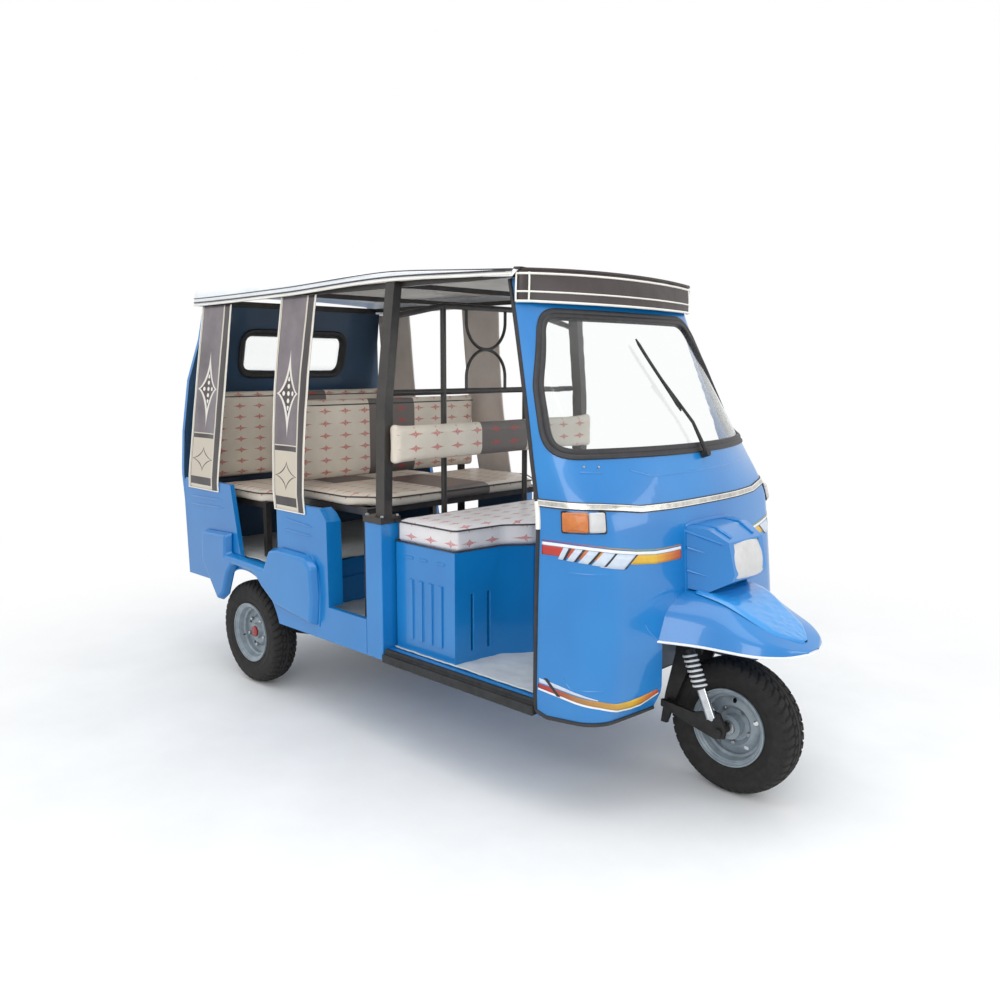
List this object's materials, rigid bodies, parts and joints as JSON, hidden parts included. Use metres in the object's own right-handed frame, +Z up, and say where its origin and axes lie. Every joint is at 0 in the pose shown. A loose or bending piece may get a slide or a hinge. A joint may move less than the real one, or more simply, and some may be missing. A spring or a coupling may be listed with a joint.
{
  "type": "auto rickshaw",
  "caption": "Three-wheeled passenger auto rickshaw: open-sided cabin with canopy and curtains, driver and passenger benches, steered front wheel, turning wheels.",
  "frame": {"origin": "middle of the bounding box, on the ground under the vehicle", "axes": "+X forward, +Y to the vehicle's left, +Z up"},
  "size_m": [3.115, 1.364, 1.9058],
  "materials": {
    "body_blue": "gloss",
    "rubber_black": "matt",
    "glass_clear": "clear",
    "frame_black": "satin",
    "lamp_clear": "moulded",
    "lamp_amber": "translucent",
    "lamp_red": "translucent",
    "floor_steel": "satin",
    "mat_grey": "textured",
    "engine_alu": "cast",
    "steel_black": "semi-gloss",
    "canopy_vinyl": "coated",
    "visor_vinyl": "coated",
    "curtain_vinyl": "coated",
    "seat_vinyl": "coated",
    "tyre": "matt",
    "rim_grey": "satin",
    "chrome": "polished",
    "spring_steel": "satin",
    "dash_black": "grained"
  },
  "bodies": {
    "chassis": {"front_cowl": "body_blue", "wiper": "frame_black", "headlamp_housing": "body_blue", "headlamp_lens": "lamp_clear", "front_fender": "body_blue", "indicator_lamps": "lamp_amber", "front_footwell": "floor_steel", "side_panels": "body_blue", "wheel_flares": "body_blue", "door_post_boxes": "body_blue", "rear_wall": "body_blue", "window_gaskets": "rubber_black", "window_glass": "glass_clear", "tail_lamps": "lamp_red", "floor_pan": "body_blue", "floor_mats": "mat_grey", "chassis_frame": "steel_black", "step_boards": "floor_steel", "engine_block": "engine_alu", "half_shafts": "spring_steel", "trailing_arms": "steel_black", "rear_springs": "spring_steel", "cabin_frame": "frame_black", "partition_grille": "frame_black", "canopy_top": "canopy_vinyl", "canopy_visor": "visor_vinyl", "side_curtains": "curtain_vinyl", "driver_seat_box": "body_blue", "driver_seat_cushion": "seat_vinyl", "driver_backrest": "seat_vinyl", "middle_bench_frame": "frame_black", "rear_bench_frame": "frame_black", "bench_cushions": "seat_vinyl", "bench_backrests": "seat_vinyl"},
    "steering": {"handlebar": "frame_black", "instrument_pod": "dash_black", "front_fork": "steel_black", "front_links": "steel_black", "shock_bodies": "chrome", "shock_springs": "spring_steel"},
    "front_wheel": {"front_tyre": "tyre", "front_rim": "rim_grey"},
    "rear_wheel_left": {"rear_tyre_left": "tyre", "rear_rim_left": "rim_grey"},
    "rear_wheel_right": {"rear_tyre_right": "tyre", "rear_rim_right": "rim_grey"}
  },
  "joints": [
    {"name": "steering_turn", "type": "hinge", "parent": "chassis", "child": "steering", "pos_m": [1.1155, 0, 0.56], "axis": [-0.342, 0, 0.9397], "range_deg": [-38, 38]},
    {"name": "front_wheel_spin", "type": "hinge", "parent": "steering", "child": "front_wheel", "pos_m": [1.2795, 0, 0.246], "axis": [0, 1, 0], "continuous": true},
    {"name": "rear_left_spin", "type": "hinge", "parent": "chassis", "child": "rear_wheel_left", "pos_m": [-0.9625, 0.571, 0.246], "axis": [0, 1, 0], "continuous": true},
    {"name": "rear_right_spin", "type": "hinge", "parent": "chassis", "child": "rear_wheel_right", "pos_m": [-0.9625, -0.571, 0.246], "axis": [0, 1, 0], "continuous": true}
  ]
}
